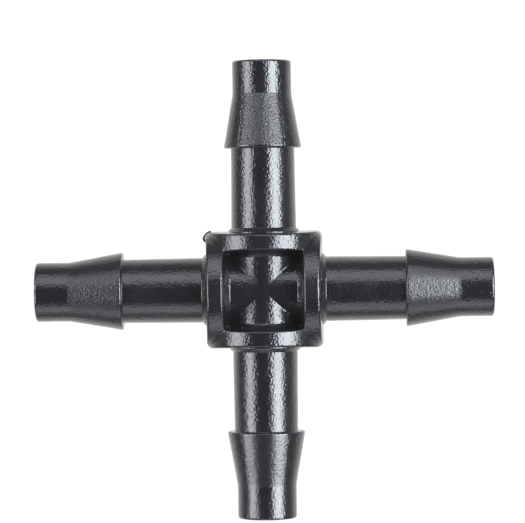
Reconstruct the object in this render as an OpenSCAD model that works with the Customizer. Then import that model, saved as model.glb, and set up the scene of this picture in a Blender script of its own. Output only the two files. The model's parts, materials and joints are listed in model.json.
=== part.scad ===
// Barbed cross fitting for soft micro-irrigation tube: four hose spigots round one
// recessed hub, with two water ways that cross in the middle. It lies flat in the
// XY plane, with the origin where the two water ways cross. All sizes are in mm.

/* [Overall] */
// Distance from the end of one spigot to the end of the opposite one
span = 30.6; // [25:0.1:40]
// Width of the hub across its mid plane, from face to face
hub_w = 7.8; // [6.4:0.05:9.6]

/* [Tube and water way] */
// Bore of the soft tube that the spigots take
tube_bore = 4; // [3.3:0.1:4.8]
// Diameter of the two water ways
bore_d = 2.5; // [1.6:0.05:3]

/* [Spigot] */
// How much slimmer than the tube's bore the plain lead-in is
lead_clearance = 0.06; // [0:0.02:0.3]
// Length of the plain lead-in
lead_len = 2.25; // [1.5:0.05:3.5]
// How much wider than the tube's bore the barb's edge is
barb_bite = 1.22; // [0.6:0.02:1.5]
// Length of the barb's cone
barb_len = 3.6; // [2.5:0.05:4.5]
// How much wider than the tube's bore the stem is behind the barb
stem_grip = 0.24; // [0:0.02:0.4]
// Draft angle of the stem, which widens towards the hub
stem_draft = 0.5; // [0:0.1:2]
// Radius of the fillet at the stem's root
root_fillet = 0.15; // [0.05:0.01:0.3]
// Width of the flat ring that the root's pad shows round the fillet
pad_rim = 0.06; // [0.02:0.01:0.2]
// How far the round pad at the root stands out from the hub's side face
pad_t = 0.2; // [0.1:0.02:0.4]
// Radius of the rounded rim at the spigot's end
rim_round = 0.15; // [0.05:0.01:0.25]
// Radius of the rounded edge of the barb
barb_round = 0.06; // [0.03:0.01:0.15]
// Chamfer at the mouth of the water way
mouth_chamfer = 0.12; // [0.05:0.01:0.25]

/* [Hub] */
// Thickness of each collar at its rim
collar_t = 1.06; // [0.8:0.02:1.4]
// How far the collars' rims stay inside the hub's side faces
rim_setback = 0.04; // [0.02:0.01:0.15]
// Diameter of the tubes that cross inside the hub
core_d = 4.7; // [4.2:0.05:5.2]
// Solid thickness left between the two recesses at the least
web_t = 2.2; // [1.6:0.1:3]
// Draft angle of the hub's side faces
hub_draft = 2.4; // [0.5:0.1:4]
// Draft angle of the recesses' walls
recess_draft = 4; // [1:0.5:6]

/* [Hidden] */
$fn = 96;

arc_steps = 8;
past = 1; // how far a cutter runs past the solid that it cuts

half_span = span / 2;
half_hub = hub_w / 2;
bore_r = bore_d / 2;
lead_r = (tube_bore - lead_clearance) / 2;
barb_r = (tube_bore + barb_bite) / 2;
stem_r = (tube_bore + stem_grip) / 2;
barb_start = half_span - lead_len;
step_at = barb_start - barb_len;
pad_at = half_hub + pad_t;
root_r = stem_r + (step_at - pad_at) * tan(stem_draft);
pad_r = root_r + root_fillet + pad_rim;
cone_slope = atan((barb_r - lead_r) / barb_len);

collar_r = half_hub - rim_setback;
core_r = core_d / 2;
rim_half_w = half_hub - collar_r * tan(hub_draft);
recess_half_w = rim_half_w - collar_t;

// Turns that carry an arm drawn along +Z to its place round the hub
to_right = [0, 90, 0];
to_left = [0, -90, 0];
to_back = [-90, 0, 0];
to_front = [90, 0, 0];

// Points on an arc about [cx, cy], from angle a0 to angle a1
function arc(cx, cy, r, a0, a1) =
    [for (i = [0:arc_steps])
        let (a = a0 + (a1 - a0) * i / arc_steps)
        [cx + r * cos(a), cy + r * sin(a)]];

// Half section of a spigot as [radius, distance from the hub's centre]
function spigot_section() = concat(
    [[bore_r, half_hub - collar_t], [pad_r, half_hub - collar_t], [pad_r, pad_at]],
    arc(root_r + root_fillet, pad_at + root_fillet, root_fillet, 270, 180),
    [[stem_r, step_at]],
    arc(barb_r - barb_round, step_at + barb_round, barb_round, 270, 360 + cone_slope),
    [[lead_r, barb_start]],
    arc(lead_r - rim_round, half_span - rim_round, rim_round, 0, 90),
    [[bore_r + mouth_chamfer, half_span], [bore_r, half_span - mouth_chamfer]]
);

// A block along Y whose two X faces lean in by the hub's draft, above and below mid plane
module drafted_block() {
    reach = collar_r + past;
    lean = reach * tan(hub_draft);
    rotate([90, 0, 0])
        linear_extrude(height = hub_w + 2 * past, center = true)
            polygon([
                [half_hub, 0], [half_hub - lean, reach], [lean - half_hub, reach],
                [-half_hub, 0], [lean - half_hub, -reach], [half_hub - lean, -reach]
            ]);
}

// A block along Y over the mid plane, between the leaning walls of a recess
module recess_block() {
    floor_z = web_t / 2;
    top_z = collar_r + past;
    floor_w = recess_half_w - (collar_r - floor_z) * tan(recess_draft);
    top_w = recess_half_w + past * tan(recess_draft);
    rotate([90, 0, 0])
        linear_extrude(height = hub_w, center = true)
            polygon([[floor_w, floor_z], [top_w, top_z], [-top_w, top_z], [-floor_w, floor_z]]);
}

// Two cylinders of radius r that cross at the origin along X and Y
module crossed(r, length) {
    for (turn = [to_right, to_back])
        rotate(turn)
            cylinder(h = length, r = r, center = true);
}

// The square recess in the hub's upper face, with the crossing tubes standing in it
module recess() {
    difference() {
        intersection() {
            recess_block();
            rotate([0, 0, 90]) recess_block();
        }
        crossed(core_r, hub_w);
    }
}

// The hub: two crossing collared tubes, recessed between the collars on both faces
module hub() {
    color([0.07, 0.07, 0.075])
        difference() {
            intersection() {
                crossed(collar_r, hub_w + 2 * past);
                drafted_block();
                rotate([0, 0, 90]) drafted_block();
            }
            recess();
            mirror([0, 0, 1]) recess();
            crossed(bore_r, hub_w + 2 * past);
        }
}

// One spigot: root pad, stem, barb and lead-in, shaped at the root to the hub's leaning face
module spigot(turn, block_turn) {
    color([0.09, 0.09, 0.095])
        difference() {
            rotate(turn) rotate_extrude() polygon(spigot_section());
            rotate([0, 0, block_turn]) drafted_block();
        }
}

hub();
spigot(to_left, 0);  // spigot_left
spigot(to_right, 0);  // spigot_right
spigot(to_front, 90);  // spigot_front
spigot(to_back, 90);  // spigot_back
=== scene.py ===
import json
import math
import bmesh
import bpy
from mathutils import Matrix, Vector


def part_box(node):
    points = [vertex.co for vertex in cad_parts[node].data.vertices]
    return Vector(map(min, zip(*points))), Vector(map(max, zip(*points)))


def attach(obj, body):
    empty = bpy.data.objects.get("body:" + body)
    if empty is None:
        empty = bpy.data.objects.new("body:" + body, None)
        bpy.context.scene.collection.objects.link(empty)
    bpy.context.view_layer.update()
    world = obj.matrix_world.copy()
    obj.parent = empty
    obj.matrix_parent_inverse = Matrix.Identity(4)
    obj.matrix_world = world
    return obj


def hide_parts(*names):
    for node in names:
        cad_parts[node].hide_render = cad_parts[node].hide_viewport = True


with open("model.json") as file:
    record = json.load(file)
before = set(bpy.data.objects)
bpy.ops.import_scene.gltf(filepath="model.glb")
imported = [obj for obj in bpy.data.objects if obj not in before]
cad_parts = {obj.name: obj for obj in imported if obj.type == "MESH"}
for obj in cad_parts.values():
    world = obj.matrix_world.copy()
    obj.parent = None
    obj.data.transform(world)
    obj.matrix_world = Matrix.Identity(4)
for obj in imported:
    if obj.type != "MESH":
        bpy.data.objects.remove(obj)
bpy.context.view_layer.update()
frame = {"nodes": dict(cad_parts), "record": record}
print("frame loaded:", ", ".join(sorted(frame["nodes"])))

mm = 0.001
tiny = 0.001 * mm  # too small to show
mergeGap = 0.0005 * mm  # points closer than this are merged
sharpAngle = math.radians(40)  # folds steeper than this stay sharp
quarter = math.radians(90)

mounts = {mount["name"]: mount for mount in frame["record"]["mounts"]}
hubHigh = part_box("hub")[1]
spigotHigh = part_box("spigot_right")[1]

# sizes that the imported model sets, in metres, and the draft of its side faces
fitting = {
    "halfSpan": spigotHigh.x,
    "hubHalf": hubHigh.x,
    "collarRadius": hubHigh.z,
    "barbRadius": spigotHigh.z,
    "leadRadius": mounts["barb_right"]["dims"]["r_mm"] * mm,
    "boreRadius": mounts["water_way_across"]["dims"]["r_mm"] * mm,
    "hubDraft": math.radians(2.4),
}


# ---- small helpers for node trees and meshes

def addNode(tree, kind, inputs=None, **settings):
    node = tree.nodes.new(kind)
    for key, value in settings.items():
        setattr(node, key, value)
    for key, value in (inputs or {}).items():
        if isinstance(value, bpy.types.NodeSocket):
            tree.links.new(value, node.inputs[key])
        else:
            node.inputs[key].default_value = value
    return node


def calc(tree, operation, first, second=0.0, third=0.0):
    kind = "ShaderNodeMath"
    return addNode(tree, kind, {0: first, 1: second, 2: third}, operation=operation).outputs[0]


# a soft step from low to high, as the value goes from start to end
def ramp(tree, value, start, end, low=0.0, high=1.0):
    inputs = {"Value": value, "From Min": start, "From Max": end, "To Min": low, "To Max": high}
    return addNode(tree, "ShaderNodeMapRange", inputs, interpolation_type="SMOOTHSTEP").outputs[0]


# one direction of a place, such as "X"
def part(tree, place, direction):
    return addNode(tree, "ShaderNodeSeparateXYZ", {0: place}).outputs[direction]


# switches on the nodes of a material or a world, and empties them
def emptyNodes(owner):
    owner.use_nodes = True
    owner.node_tree.nodes.clear()
    return owner.node_tree


def newTree(name, inputs):
    tree = bpy.data.node_groups.new(name, "GeometryNodeTree")
    face = tree.interface
    face.new_socket(name="Geometry", in_out="INPUT", socket_type="NodeSocketGeometry")
    for label, kind in inputs.items():
        face.new_socket(name=label, in_out="INPUT", socket_type="NodeSocket" + kind)
    face.new_socket(name="Geometry", in_out="OUTPUT", socket_type="NodeSocketGeometry")
    return tree


def endTree(tree, geometry, material):
    real = addNode(tree, "GeometryNodeRealizeInstances", {"Geometry": geometry}).outputs[0]
    inputs = {"Geometry": real, "Material": material}
    coated = addNode(tree, "GeometryNodeSetMaterial", inputs).outputs[0]
    addNode(tree, "NodeGroupOutput", {0: coated})


def setInputs(modifier, values):
    for item in modifier.node_group.interface.items_tree:
        if item.in_out == "INPUT" and item.name in values:
            modifier[item.identifier] = values[item.name]


def newObject(name, mesh):
    made = bpy.data.objects.new(name, mesh)
    bpy.context.scene.collection.objects.link(made)
    return made


# merges what meets, turns the faces outwards and writes the result to the mesh
def closeMesh(work, mesh):
    bmesh.ops.remove_doubles(work, verts=work.verts, dist=mergeGap)
    bmesh.ops.recalc_face_normals(work, faces=work.faces)
    work.to_mesh(mesh)
    work.free()


# turns what an object shows into a plain, closed, smooth mesh of its own
def keepPiece(name, start, material):
    start.update_tag()
    depsgraph = bpy.context.evaluated_depsgraph_get()
    mesh = bpy.data.meshes.new_from_object(start.evaluated_get(depsgraph), depsgraph=depsgraph)
    bpy.data.objects.remove(start)
    work = bmesh.new()
    work.from_mesh(mesh)
    closeMesh(work, mesh)
    mesh.shade_smooth()
    mesh.set_sharp_from_angle(angle=sharpAngle)
    mesh.materials.clear()
    mesh.materials.append(material)
    mesh.name = name
    return newObject(name, mesh)


# runs a geometry tree on a starting mesh and keeps the result
def runTree(name, startMesh, tree, values):
    start = newObject(name + "_start", startMesh)
    modifier = start.modifiers.new("tree", "NODES")
    modifier.node_group = tree
    setInputs(modifier, values)
    return keepPiece(name, start, values["Material"])


# moves the skin in and out a little where the mask is 1, as a moulding sinks and swells
def addSinkMarks(tree, geometry, given, mask):
    place = addNode(tree, "GeometryNodeInputPosition").outputs[0]
    shift = addNode(tree, "ShaderNodeCombineXYZ", {0: given["Seed"], 1: given["Seed"]}).outputs[0]
    spot = addNode(tree, "ShaderNodeVectorMath", {0: place, 1: shift}, operation="ADD").outputs[0]
    scale = calc(tree, "DIVIDE", 1.0, given["Swell Size"])
    inputs = {"Vector": spot, "Scale": scale, "Detail": 1}
    noise = addNode(tree, "ShaderNodeTexNoise", inputs).outputs[0]
    height = calc(tree, "MULTIPLY", calc(tree, "SUBTRACT", noise, 0.5), given["Swell Height"])
    masked = calc(tree, "MULTIPLY", height, mask)
    normal = addNode(tree, "GeometryNodeInputNormal").outputs[0]
    inputs = {0: normal, "Scale": masked}
    offset = addNode(tree, "ShaderNodeVectorMath", inputs, operation="SCALE").outputs[0]
    return addNode(tree, "GeometryNodeSetPosition", {"Geometry": geometry, "Offset": offset}).outputs[0]


# the place in the piece's own directions, X along the arm, which the plastic's finish follows
def storeOwnPlace(tree, geometry, place):
    inputs = {"Geometry": geometry, "Name": "ownPlace", "Value": place}
    kind = "GeometryNodeStoreNamedAttribute"
    return addNode(tree, kind, inputs, data_type="FLOAT_VECTOR", domain="POINT").outputs[0]


# ---- spigots: one section, turned on a lathe tree, four times

spigot = {
    "leadLength": 2.25 * mm,
    "barbLength": 3.6 * mm,
    "stemRadius": 2.12 * mm,  # just behind the barb
    "stemDraft": math.radians(0.5),
    "rootFillet": 0.1 * mm,
    "padThickness": 0.17 * mm,  # the round pad between the hub's side face and the stem
    "padRadius": 2.45 * mm,
    "padSlope": 0.87,  # how steeply the pad's rim falls away from the hub
    "padEdge": 0.03 * mm,
    "stepFillet": 0.05 * mm,
    "barbEdge": 0.13 * mm,
    "coneEase": 2.5 * mm,  # how gently the cone starts from the lead-in
    "rimRound": 0.17 * mm,
    "mouthRound": 0.1 * mm,
    "inHub": 0.25 * mm,  # how far the pad is let into the hub
    "padStart": 0.04 * mm,  # where in the hub the slope of its rim begins
    "segments": 200,
    "arcPoints": 9,
    "pitch": 0.075 * mm,  # spacing of the rings on straight stretches
    "swellHeight": 0.012 * mm,  # of the sink marks
    "swellSize": 1.4 * mm,
    "swellShift": 7 * mm,  # from one spigot's sink marks to the next one's
    "boreSkin": 0.1 * mm,  # over which the sink marks fade out towards the bore
}
spigot["stepAt"] = fitting["halfSpan"] - spigot["leadLength"] - spigot["barbLength"]
spigot["coneEnd"] = fitting["halfSpan"] - spigot["leadLength"]

# each: turn about Z from the right-hand one, depth of its cone's blasting, roughness there
arms = {
    "spigot_right": (0, 0.3, 0.3),
    "spigot_back": (90, 1.7, 0.33),
    "spigot_left": (180, 0.75, 0.27),
    "spigot_front": (270, 0.3, 0.27),
}


# half section as (distance along the arm, radius, rounding of the corner)
def spigotSection():
    startAt = fitting["hubHalf"] - spigot["inHub"]
    padFrom = fitting["hubHalf"] - spigot["padStart"]
    padAt = fitting["hubHalf"] + spigot["padThickness"]
    padRimRadius = spigot["padRadius"] - (padAt - padFrom) * spigot["padSlope"]
    rootRadius = spigot["stemRadius"] + (spigot["stepAt"] - padAt) * math.tan(spigot["stemDraft"])
    return [
        (startAt, fitting["boreRadius"], 0),
        (startAt, spigot["padRadius"], 0),
        (padFrom, spigot["padRadius"], 0),
        (padAt, padRimRadius, spigot["padEdge"]),
        (padAt, rootRadius, spigot["rootFillet"]),
        (spigot["stepAt"], spigot["stemRadius"], spigot["stepFillet"]),
        (spigot["stepAt"], fitting["barbRadius"], spigot["barbEdge"]),
        (spigot["coneEnd"], fitting["leadRadius"], spigot["coneEase"]),
        (fitting["halfSpan"], fitting["leadRadius"], spigot["rimRound"]),
        (fitting["halfSpan"], fitting["boreRadius"], spigot["mouthRound"]),
    ]


def sectionMesh():
    points = spigotSection()
    mesh = bpy.data.meshes.new("spigot_section")
    edges = [(i, (i + 1) % len(points)) for i in range(len(points))]
    mesh.from_pydata([(radius, along, 0) for along, radius, _ in points], edges, [])
    rounding = mesh.attributes.new("rounding", "FLOAT", "POINT")
    rounding.data.foreach_set("value", [radius for _, _, radius in points])
    return mesh


# extra points on the straight stretches, so that the skin can follow its sink marks
def subdivideByPitch(tree, curve, pitch):
    place = addNode(tree, "GeometryNodeInputPosition").outputs[0]
    index = addNode(tree, "GeometryNodeInputIndex").outputs[0]
    following = calc(tree, "ADD", index, 1.0)
    ahead = addNode(tree, "GeometryNodeFieldAtIndex", data_type="FLOAT_VECTOR", domain="POINT")
    tree.links.new(following, ahead.inputs["Index"])
    tree.links.new(place, ahead.inputs["Value"])
    inputs = {0: place, 1: ahead.outputs[0]}
    reach = addNode(tree, "ShaderNodeVectorMath", inputs, operation="DISTANCE").outputs["Value"]
    cuts = calc(tree, "FLOOR", calc(tree, "DIVIDE", reach, pitch))
    return addNode(tree, "GeometryNodeSubdivideCurve", {"Curve": curve, "Cuts": cuts}).outputs[0]


def spigotTree():
    tree = newTree("spigot_lathe", {
        "Arc Points": "Int", "Segments": "Int", "Pitch": "Float", "Bore Radius": "Float",
        "Bore Skin": "Float", "Swell Height": "Float", "Swell Size": "Float", "Seed": "Float",
        "Turn": "Float", "Material": "Material",
    })
    given = tree.nodes.new("NodeGroupInput").outputs
    curve = addNode(tree, "GeometryNodeMeshToCurve", {"Mesh": given["Geometry"]}).outputs[0]
    rounding = addNode(tree, "GeometryNodeInputNamedAttribute", {"Name": "rounding"}, data_type="FLOAT")
    inputs = {"Curve": curve, "Count": given["Arc Points"], "Radius": rounding.outputs[0],
              "Limit Radius": True}
    rounded = addNode(tree, "GeometryNodeFilletCurve", inputs, mode="POLY").outputs[0]
    section = subdivideByPitch(tree, rounded, given["Pitch"])

    # the rail is a tiny circle, so the section turns about the Z axis
    inputs = {"Resolution": given["Segments"], "Radius": tiny}
    rail = addNode(tree, "GeometryNodeCurvePrimitiveCircle", inputs).outputs[0]
    inputs = {"Curve": rail, "Profile Curve": section}
    turned = addNode(tree, "GeometryNodeCurveToMesh", inputs).outputs[0]
    inputs = {"Geometry": turned, "Rotation": (0, -quarter, 0)}
    laid = addNode(tree, "GeometryNodeTransform", inputs).outputs[0]

    place = addNode(tree, "GeometryNodeInputPosition").outputs[0]
    ySquared = calc(tree, "POWER", part(tree, place, "Y"), 2.0)
    zSquared = calc(tree, "POWER", part(tree, place, "Z"), 2.0)
    fromAxis = calc(tree, "SQRT", calc(tree, "ADD", ySquared, zSquared))
    skinStart = calc(tree, "ADD", given["Bore Radius"], given["Bore Skin"])
    skin = ramp(tree, fromAxis, given["Bore Radius"], skinStart)
    swollen = addSinkMarks(tree, laid, given, skin)

    marked = storeOwnPlace(tree, swollen, place)
    rotation = addNode(tree, "ShaderNodeCombineXYZ", {"Z": given["Turn"]}).outputs[0]
    inputs = {"Geometry": marked, "Rotation": rotation}
    placed = addNode(tree, "GeometryNodeTransform", inputs).outputs[0]
    endTree(tree, placed, given["Material"])
    return tree


def makeSpigot(name, turn, seed, tree, material):
    values = {
        "Arc Points": spigot["arcPoints"], "Segments": spigot["segments"], "Pitch": spigot["pitch"],
        "Bore Radius": fitting["boreRadius"], "Bore Skin": spigot["boreSkin"],
        "Swell Height": spigot["swellHeight"], "Swell Size": spigot["swellSize"],
        "Seed": seed * spigot["swellShift"], "Turn": math.radians(turn), "Material": material,
    }
    return runTree(name, sectionMesh(), tree, values)


# ---- hub: two crossing collared tubes with a square recess on each face

hub = {
    "collarThickness": 1.06 * mm,
    "coreAcross": (2.41 * mm, 2.41 * mm),  # height and half width of the tube along X
    "coreAlong": (2.375 * mm, 2.55 * mm),  # the one along Y lies a little lower and flatter
    "web": 1.1 * mm,  # half thickness of the web in the recess's corners
    "recessDraft": math.radians(4),
    "wallFillet": 0.36 * mm,  # between the crossing tubes and the collars
    "filletFlatness": 1.8,  # 1 is a quarter circle, 2 a straight chamfer
    "cornerFillet": 0.5 * mm,  # where the tubes' flanks run out on the web
    "groin": 0.045 * mm,  # softness of the valleys between crossing surfaces
    "filletFade": 0.75,  # how much of the fillet is lost towards the recess's corners
    "innerEdge": 0.14 * mm,  # rounding of the recess's lip
    "edgeFade": 0.7,  # how much of it is lost towards the corners
    "fadePower": 6,  # the higher, the nearer to the corners the two fade
    "outerEdge": 0.18 * mm,  # rounding of the collars' outer edges
    "innerCorner": 0.06 * mm,  # radius of the recess's upright corners
    "outerCorner": 0.45 * mm,  # and of the hub's own
    "partingRidge": 0.012 * mm,
    "columns": 52,  # on each of the four sides
    "crowding": 0.55,  # how much closer together the columns stand towards the corners
    # points on each stretch of the hub's section, from the middle out
    "rows": {"core": 26, "fillet": 8, "wall": 9, "edge": 8, "rim": 14, "side": 22},
    "meetSteps": 6,  # tries at finding where two surfaces meet
    "boreSegments": 96,
    "drillLength": 2.5,  # in half widths of the hub
    "swellHeight": 0.014 * mm,
    "swellSize": 1.6 * mm,
    "swellSeed": 3 * mm,
    "flatSkin": (0.3 * mm, 0.2 * mm),  # depth below the side faces where the sink marks fade out
}


# the lower of two values, with a soft change-over where they are close
def smoothLow(first, second, softness):
    closeness = max(softness - abs(first - second), 0) / softness
    return min(first, second) - closeness * closeness * softness / 4


def smoothHigh(first, second, softness):
    return -smoothLow(-first, -second, softness)


# height of a lying tube at a distance from its axis
def tubeHeight(high, wide, away):
    return high * math.sqrt(max(1 - (away / wide) ** 2, 0))


# the two crossing collars, whose height follows the nearer axis
def rimHeight(x, y):
    nearer = max(smoothLow(abs(x), abs(y), hub["groin"]), 0)
    return tubeHeight(fitting["collarRadius"], fitting["collarRadius"], nearer)


# the two crossing tubes in the recess, and the web between them
def coreHeight(x, y):
    across = tubeHeight(*hub["coreAcross"], y)
    along = tubeHeight(*hub["coreAlong"], x)
    tubes = smoothHigh(across, along, hub["groin"])
    return smoothHigh(tubes, hub["web"], hub["cornerFillet"])


# a point on a square of half side "reach" with rounded corners; t runs from -1 to 1 along a side
def onSquare(reach, t, corner):
    straight = reach - corner
    run = abs(t) * (straight + corner * math.pi / 4)
    if run <= straight:
        x, y = reach, run
    else:
        angle = (run - straight) / corner
        x = straight + corner * math.cos(angle)
        y = straight + corner * math.sin(angle)
    return x, math.copysign(y, t)


# how far out the recess's wall is at a height
def wallAt(z):
    rimHalf = fitting["hubHalf"] - fitting["collarRadius"] * math.tan(fitting["hubDraft"])
    depth = fitting["collarRadius"] - z
    return rimHalf - hub["collarThickness"] - depth * math.tan(hub["recessDraft"])


# and the hub's side face
def sideAt(z):
    return fitting["hubHalf"] - z * math.tan(fitting["hubDraft"])


# where a surface's height and a wall's reach agree, along the direction t
def meet(height, reachAt, lift, t, corner):
    reach = reachAt(fitting["collarRadius"])
    for _ in range(hub["meetSteps"]):
        reach = reachAt(height(*onSquare(reach, t, corner)) + lift)
    return reach, height(*onSquare(reach, t, corner)) + lift


# the upper half of the hub's section in the direction t, from the middle out to the parting line
def hubSection(t):
    rows = hub["rows"]
    inner = hub["innerCorner"]
    outer = hub["outerCorner"]
    outerEdge = hub["outerEdge"]
    nearCorner = t ** hub["fadePower"]
    innerEdge = hub["innerEdge"] * (1 - hub["edgeFade"] * nearCorner)
    fillet = hub["wallFillet"] * (1 - hub["filletFade"] * nearCorner)
    footReach, footZ = meet(coreHeight, wallAt, fillet, t, inner)
    lipReach, lipZ = meet(rimHeight, wallAt, 0, t, inner)
    sideReach, sideZ = meet(rimHeight, sideAt, 0, t, outer)
    section = []

    # a point at a height of its own, or lifted from a surface
    def put(reach, corner, z=None, height=None, lift=0.0):
        x, y = onSquare(reach, t, corner)
        section.append((x, y, z if height is None else height(x, y) + lift))

    for i in range(1, rows["core"] + 1):
        share = i / rows["core"]
        put((footReach - fillet) * share, inner * share, height=coreHeight)
    for i in range(1, rows["fillet"] + 1):
        angle = quarter * i / rows["fillet"]
        out = math.sin(angle) ** hub["filletFlatness"]
        lift = 1 - max(math.cos(angle), 0) ** hub["filletFlatness"]
        put(footReach - fillet * (1 - out), inner, height=coreHeight, lift=fillet * lift)
    for i in range(1, rows["wall"] + 1):
        z = footZ + (lipZ - innerEdge - footZ) * i / rows["wall"]
        put(wallAt(z), inner, z=z)
    for i in range(1, rows["edge"] + 1):
        angle = quarter * i / rows["edge"]
        reach = lipReach + innerEdge * (1 - math.cos(angle))
        put(reach, inner, height=rimHeight, lift=innerEdge * (math.sin(angle) - 1))
    for i in range(1, rows["rim"]):
        share = i / rows["rim"]
        reach = lipReach + innerEdge + (sideReach - lipReach - innerEdge - outerEdge) * share
        put(reach, inner + (outer - inner) * share, height=rimHeight)
    for i in range(rows["edge"] + 1):
        angle = quarter * i / rows["edge"]
        reach = sideReach - outerEdge + outerEdge * math.sin(angle)
        put(reach, outer, height=rimHeight, lift=outerEdge * (math.cos(angle) - 1))
    for i in range(1, rows["side"] + 1):
        z = (sideZ - outerEdge) * (1 - i / rows["side"])
        ridge = hub["partingRidge"] if i == rows["side"] else 0
        put(sideAt(z) + ridge, outer, z=z)
    return section


# columns stand closer together towards the corners, where the valleys are
def columnPlace(i):
    even = 2 * i / hub["columns"] - 1
    eased = 1.5 * even - 0.5 * even ** 3
    return even + hub["crowding"] * (eased - even)


def hubShell():
    columns = []
    for side in range(4):
        turn = Matrix.Rotation(quarter * side, 3, "Z")
        for i in range(hub["columns"]):
            columns.append([turn @ Vector(point) for point in hubSection(columnPlace(i))])
    work = bmesh.new()
    for face in (1, -1):  # the upper half and the lower one
        top = work.verts.new((0, 0, face * coreHeight(0, 0)))
        skin = []
        for column in columns:
            skin.append([work.verts.new((point.x, point.y, face * point.z)) for point in column])
        for i, column in enumerate(skin):
            following = skin[(i + 1) % len(skin)]
            work.faces.new((top, column[0], following[0]))
            for k in range(len(column) - 1):
                work.faces.new((column[k], column[k + 1], following[k + 1], following[k]))
    mesh = bpy.data.meshes.new("hub_shell")
    closeMesh(work, mesh)
    return mesh


def hubTree():
    tree = newTree("hub_bores", {
        "Bore Radius": "Float", "Bore Length": "Float", "Bore Segments": "Int",
        "Fade From": "Float", "Fade To": "Float", "Swell Height": "Float",
        "Swell Size": "Float", "Seed": "Float", "Material": "Material",
    })
    given = tree.nodes.new("NodeGroupInput").outputs

    # the side faces stay flat, because the spigots' pads stand on them
    place = addNode(tree, "GeometryNodeInputPosition").outputs[0]
    awayX = calc(tree, "ABSOLUTE", part(tree, place, "X"))
    awayY = calc(tree, "ABSOLUTE", part(tree, place, "Y"))
    reach = calc(tree, "MAXIMUM", awayX, awayY)
    inside = ramp(tree, reach, given["Fade From"], given["Fade To"], 1.0, 0.0)
    swollen = addSinkMarks(tree, given["Geometry"], given, inside)

    inputs = {"Vertices": given["Bore Segments"], "Radius": given["Bore Radius"],
              "Depth": given["Bore Length"]}
    drill = addNode(tree, "GeometryNodeMeshCylinder", inputs).outputs[0]
    cut = addNode(tree, "GeometryNodeMeshBoolean", operation="DIFFERENCE", solver="EXACT")
    tree.links.new(swollen, cut.inputs[0])
    for turn in ((quarter, 0, 0), (0, quarter, 0)):
        laid = addNode(tree, "GeometryNodeTransform", {"Geometry": drill, "Rotation": turn})
        tree.links.new(laid.outputs[0], cut.inputs[1])
    marked = storeOwnPlace(tree, cut.outputs[0], (0, 0, 0))  # no blasted skin on the hub
    endTree(tree, marked, given["Material"])
    return tree


def makeHub(material):
    fadeFrom, fadeTo = hub["flatSkin"]
    values = {
        "Bore Radius": fitting["boreRadius"], "Bore Length": hub["drillLength"] * fitting["hubHalf"],
        "Bore Segments": hub["boreSegments"],
        "Fade From": fitting["hubHalf"] - fadeFrom, "Fade To": fitting["hubHalf"] - fadeTo,
        "Swell Height": hub["swellHeight"], "Swell Size": hub["swellSize"],
        "Seed": hub["swellSeed"], "Material": material,
    }
    return runTree("hub_moulding", hubShell(), hubTree(), values)


# ---- black moulded plastic

plastic = {
    "colour": (0.0027, 0.0025, 0.0039, 1),
    "matteColour": (0.0036, 0.0034, 0.0046, 1),
    "roughness": (0.165, 0.245),  # in soft patches
    "patchSize": 1.5 * mm,
    "peelSize": 0.35 * mm,
    "peelHeight": 0.01 * mm,
    "grainSize": 0.145 * mm,
    "grainHeight": 0.029 * mm,
    "grainLeft": 0.6,  # share of the grain that is left under the blasting
    "blastSize": 0.15 * mm,
    "blastHeight": 0.035 * mm,
    "blastStretch": 1.7,  # the blasted marks run round the arm
    "blastFacing": (0.8, 0.87),  # how far towards straight up or down the blasted skin fades in
    "lip": 0.17 * mm,  # polished edge left along the barb's step
    "pastCone": 0.02 * mm,  # how far the blasting runs on past the cone's end
    "ragged": 0.03 * mm,  # how far the blasted skin's outline wanders
    "raggedSize": 0.12 * mm,
    "dustSpacing": 1.3 * mm,
    "dustFree": 0.55,  # share of the places that have no speck
    "dustRadius": 0.045 * mm,
    "dustEdge": 0.01 * mm,
    "dustColour": (0.16, 0.16, 0.165, 1),
}


def noiseAt(tree, spot, size, detail):
    inputs = {"Vector": spot, "Scale": 1 / size, "Detail": detail}
    return addNode(tree, "ShaderNodeTexNoise", inputs).outputs[0]


def mixColours(tree, factor, first, second):
    inputs = {"Factor": factor, 6: first, 7: second}  # 6, 7 and output 2 are the colour sockets
    return addNode(tree, "ShaderNodeMix", inputs, data_type="RGBA").outputs[2]


# 1 on the blasted cone between the barb's polished lip and the lead-in, 0 elsewhere
def blastedZone(tree, ownPlace, spot):
    awayY = calc(tree, "ABSOLUTE", part(tree, ownPlace, "Y"))
    awayZ = calc(tree, "ABSOLUTE", part(tree, ownPlace, "Z"))
    steepness = calc(tree, "DIVIDE", awayZ, calc(tree, "MAXIMUM", awayY, tiny))
    upward = calc(tree, "SINE", calc(tree, "ARCTANGENT", steepness))
    facing = ramp(tree, upward, *plastic["blastFacing"])

    wander = calc(tree, "SUBTRACT", noiseAt(tree, spot, plastic["raggedSize"], detail=2), 0.5)
    along = part(tree, ownPlace, "X")
    edge = calc(tree, "MULTIPLY_ADD", wander, plastic["ragged"] * 2, along)
    starts = calc(tree, "GREATER_THAN", edge, spigot["stepAt"] + plastic["lip"])
    ends = calc(tree, "LESS_THAN", edge, spigot["coneEnd"] + plastic["pastCone"])
    return calc(tree, "MULTIPLY", calc(tree, "MULTIPLY", starts, ends), facing)


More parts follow.
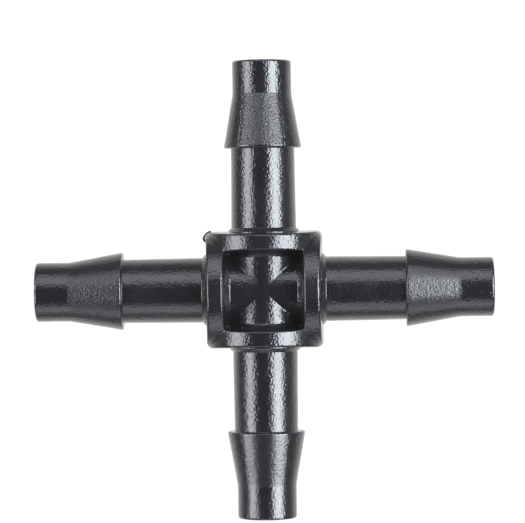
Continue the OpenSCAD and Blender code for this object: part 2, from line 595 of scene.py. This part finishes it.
# height of the skin: soft waves and a fine grain all over, and the marks of the blasting
def surfaceRelief(tree, spot, ownPlace, zone, blast):
    peelNoise = noiseAt(tree, spot, plastic["peelSize"], detail=2)
    peel = calc(tree, "MULTIPLY", peelNoise, plastic["peelHeight"])

    fullGrain = plastic["grainHeight"]
    grainHeight = ramp(tree, zone, 0.0, 1.0, fullGrain, fullGrain * plastic["grainLeft"])
    grain = calc(tree, "MULTIPLY", noiseAt(tree, spot, plastic["grainSize"], detail=1), grainHeight)

    stretch = {0: ownPlace, 1: (plastic["blastStretch"], 1, 1)}
    stretched = addNode(tree, "ShaderNodeVectorMath", stretch, operation="MULTIPLY").outputs[0]
    markNoise = noiseAt(tree, stretched, plastic["blastSize"], detail=2)
    marks = calc(tree, "MULTIPLY", markNoise, plastic["blastHeight"] * blast)
    return calc(tree, "ADD", calc(tree, "ADD", peel, grain), calc(tree, "MULTIPLY", marks, zone))


# a few specks of dust, each a small soft-edged dot
def dustMask(tree, spot):
    inputs = {"Vector": spot, "Scale": 1 / plastic["dustSpacing"], "Randomness": 1.0}
    cells = addNode(tree, "ShaderNodeTexVoronoi", inputs)
    reach = calc(tree, "MULTIPLY", cells.outputs["Distance"], plastic["dustSpacing"])
    size = part(tree, cells.outputs["Color"], "X")
    radius = ramp(tree, size, plastic["dustFree"], 1.0, 0.0, plastic["dustRadius"])
    inside = calc(tree, "SUBTRACT", radius, reach)
    return ramp(tree, inside, 0.0, plastic["dustEdge"])


# the last two are for the blasted cone, which only a spigot has
def blackPlastic(name, blast=0.0, matteRoughness=0.4):
    material = bpy.data.materials.new(name)
    tree = emptyNodes(material)
    spot = addNode(tree, "ShaderNodeTexCoord").outputs["Object"]
    ownPlace = addNode(tree, "ShaderNodeAttribute", attribute_name="ownPlace").outputs["Vector"]
    zone = blastedZone(tree, ownPlace, spot)
    relief = surfaceRelief(tree, spot, ownPlace, zone, blast)
    inputs = {"Strength": 1.0, "Distance": 1.0, "Height": relief}
    bump = addNode(tree, "ShaderNodeBump", inputs).outputs[0]

    patches = noiseAt(tree, spot, plastic["patchSize"], detail=3)
    glossy = ramp(tree, patches, 0.3, 0.7, *plastic["roughness"])  # the noise stays near 0.5
    rougher = calc(tree, "SUBTRACT", matteRoughness, glossy)
    roughness = calc(tree, "MULTIPLY_ADD", rougher, zone, glossy)

    base = mixColours(tree, zone, plastic["colour"], plastic["matteColour"])
    colour = mixColours(tree, dustMask(tree, spot), base, plastic["dustColour"])

    shader = addNode(tree, "ShaderNodeBsdfPrincipled", {
        "Base Color": colour, "Roughness": roughness, "Normal": bump, "IOR": 1.5,
    })
    addNode(tree, "ShaderNodeOutputMaterial", {"Surface": shader.outputs[0]})
    return material


# ---- a sliver of flash that curls round one corner of the hub

flash = {
    # along the parting line: x, y and radius of the sliver, in millimetres
    "path": [(-3.86, 3.22, 0.06), (-4.05, 3.36, 0.1), (-4.0, 3.58, 0.07),
             (-3.88, 3.77, 0.05), (-3.73, 3.9, 0.04), (-3.56, 3.95, 0.05)],
    "around": 3,  # steps round the sliver and between two of its points
    "along": 6,
    "order": 3,  # a higher one would cut the corners more
}


def makeFlash(material):
    curve = bpy.data.curves.new("flash_curve", "CURVE")
    curve.dimensions = "3D"
    curve.bevel_depth = mm  # each point's own radius is in millimetres
    curve.bevel_resolution = flash["around"]
    curve.use_fill_caps = True
    line = curve.splines.new("NURBS")
    line.points.add(len(flash["path"]) - 1)
    for point, (x, y, radius) in zip(line.points, flash["path"]):
        point.co = (x * mm, y * mm, 0, 1)
        point.radius = radius
    line.order_u = flash["order"]
    line.use_endpoint_u = True
    line.resolution_u = flash["along"]
    return keepPiece("hub_flash", newObject("flash_start", curve), material)


# ---- floor, light and camera

studio = {
    "floorHalf": 1.5,
    "white": 1.06,  # what the camera sees of the floor and the backdrop
    "underGlow": 1.35,  # the lit floor as the plastic mirrors it, looking down
    "farGlow": 0.38,  # and at a shallow angle
    "glowSlant": (0.5, 0.72),  # between which slants the one goes over into the other
    "horizon": 0.32,  # the room as the plastic mirrors it, low down
    "zenith": 0.096,  # and overhead
    "roomRise": (0.1, 0.7),
    "lightDistance": 0.45,
    "lightLength": 0.5,
}

# each: turn about Z, tilt from straight up, angle that it spans, brightness, colour
softBoxes = {
    "right_strip": (0, 45.7, 35.4, 21.0, (0.88, 0.94, 1.0)),
    "left_strip": (180, 57, 30, 11.5, (0.94, 0.94, 1.0)),
    "back_panel": (90, 48, 38, 3.3, (0.9, 0.92, 1.0)),
    "front_panel": (270, 70, 32, 2.3, (0.9, 0.92, 1.0)),
}


# the floor and the backdrop are plain white to the camera and shaded as a softly lit room in reflections
def seenOrMirrored(tree, mirrored):
    camera = addNode(tree, "ShaderNodeLightPath").outputs["Is Camera Ray"]
    inputs = {"Factor": camera, 2: mirrored, 3: studio["white"]}  # 2 and 3 are the value sockets
    return addNode(tree, "ShaderNodeMix", inputs, data_type="FLOAT").outputs[0]


def glowPaper():
    material = bpy.data.materials.new("pale_floor")
    tree = emptyNodes(material)
    slant = addNode(tree, "ShaderNodeLayerWeight", {"Blend": 0.5}).outputs["Facing"]
    mirrored = ramp(tree, slant, *studio["glowSlant"], studio["underGlow"], studio["farGlow"])
    glow = addNode(tree, "ShaderNodeEmission", {"Strength": seenOrMirrored(tree, mirrored)})
    addNode(tree, "ShaderNodeOutputMaterial", {"Surface": glow.outputs[0]})
    return material


def makeFloor():
    half = studio["floorHalf"]
    low = -fitting["collarRadius"]
    mesh = bpy.data.meshes.new("floor")
    corners = [(-half, -half, low), (half, -half, low), (half, half, low), (-half, half, low)]
    mesh.from_pydata(corners, [], [(0, 1, 2, 3)])
    mesh.materials.append(glowPaper())
    newObject("floor", mesh)


def makeSoftBox(name, towards, tilt, spread, brightness, colour):
    light = bpy.data.lights.new(name, "AREA")
    light.shape = "RECTANGLE"
    light.size = 2 * studio["lightDistance"] * math.tan(math.radians(spread / 2))
    light.size_y = studio["lightLength"]
    light.energy = brightness * math.pi * light.size * light.size_y  # as bright at any size
    light.color = colour
    box = newObject(name, light)
    turn = Matrix.Rotation(math.radians(towards), 4, "Z") @ Matrix.Rotation(math.radians(tilt), 4, "Y")
    box.matrix_world = turn @ Matrix.Translation((0, 0, studio["lightDistance"]))


def makeWorld():
    world = bpy.data.worlds.new("studio")
    tree = emptyNodes(world)
    aim = addNode(tree, "ShaderNodeTexCoord").outputs["Generated"]
    rise = part(tree, aim, "Z")
    mirrored = ramp(tree, rise, *studio["roomRise"], studio["horizon"], studio["zenith"])
    inputs = {"Color": (1, 1, 1, 1), "Strength": seenOrMirrored(tree, mirrored)}
    sky = addNode(tree, "ShaderNodeBackground", inputs)
    addNode(tree, "ShaderNodeOutputWorld", {"Surface": sky.outputs[0]})
    bpy.context.scene.world = world


view = {
    "foot": (4.6 * mm, 4.1 * mm),  # point under the camera, to the right and up in its view
    "height": 191.1 * mm,
    "aim": (-0.138 * mm, 1.872 * mm),  # point that it looks at, in the same directions
    "roll": math.radians(0.8),
    "lens": 195.86,
    "veil": 0.008,
}


def makeCamera():
    right = Vector((math.cos(view["roll"]), -math.sin(view["roll"]), 0))
    up = Vector((math.sin(view["roll"]), math.cos(view["roll"]), 0))
    place = right * view["foot"][0] + up * view["foot"][1] + Vector((0, 0, view["height"]))
    target = right * view["aim"][0] + up * view["aim"][1]
    back = (place - target).normalized()
    across = up.cross(back).normalized()
    turn = Matrix((across, back.cross(across), back)).transposed()
    data = bpy.data.cameras.new("camera")
    data.lens = view["lens"]
    camera = newObject("camera", data)
    camera.matrix_world = Matrix.Translation(place) @ turn.to_4x4()
    bpy.context.scene.camera = camera


# plain contrast, with the faint veil that the white backdrop lays over the blacks
def setView():
    settings = bpy.context.scene.view_settings
    settings.view_transform = "Standard"
    settings.use_curve_mapping = True
    settings.curve_mapping.black_level = (-view["veil"], -view["veil"], -view["veil"])
    settings.curve_mapping.update()


makeFloor()
for name, values in softBoxes.items():
    makeSoftBox(name, *values)
makeWorld()
makeCamera()
setView()
print("studio set")

hubPiece = makeHub(blackPlastic("gloss_black"))
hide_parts("hub")
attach(hubPiece, "root")
print("hub made:", len(hubPiece.data.polygons), "faces")

flashPiece = makeFlash(blackPlastic("flash_black"))
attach(flashPiece, "root")
print("flash made:", len(flashPiece.data.polygons), "faces")

lathe = spigotTree()
for seed, (name, (turn, blast, matteRoughness)) in enumerate(arms.items()):
    coat = blackPlastic(name + "_black", blast, matteRoughness)
    piece = makeSpigot(name + "_moulding", turn, seed, lathe, coat)
    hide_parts(name)
    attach(piece, "root")
    print(name, "made:", len(piece.data.polygons), "faces")
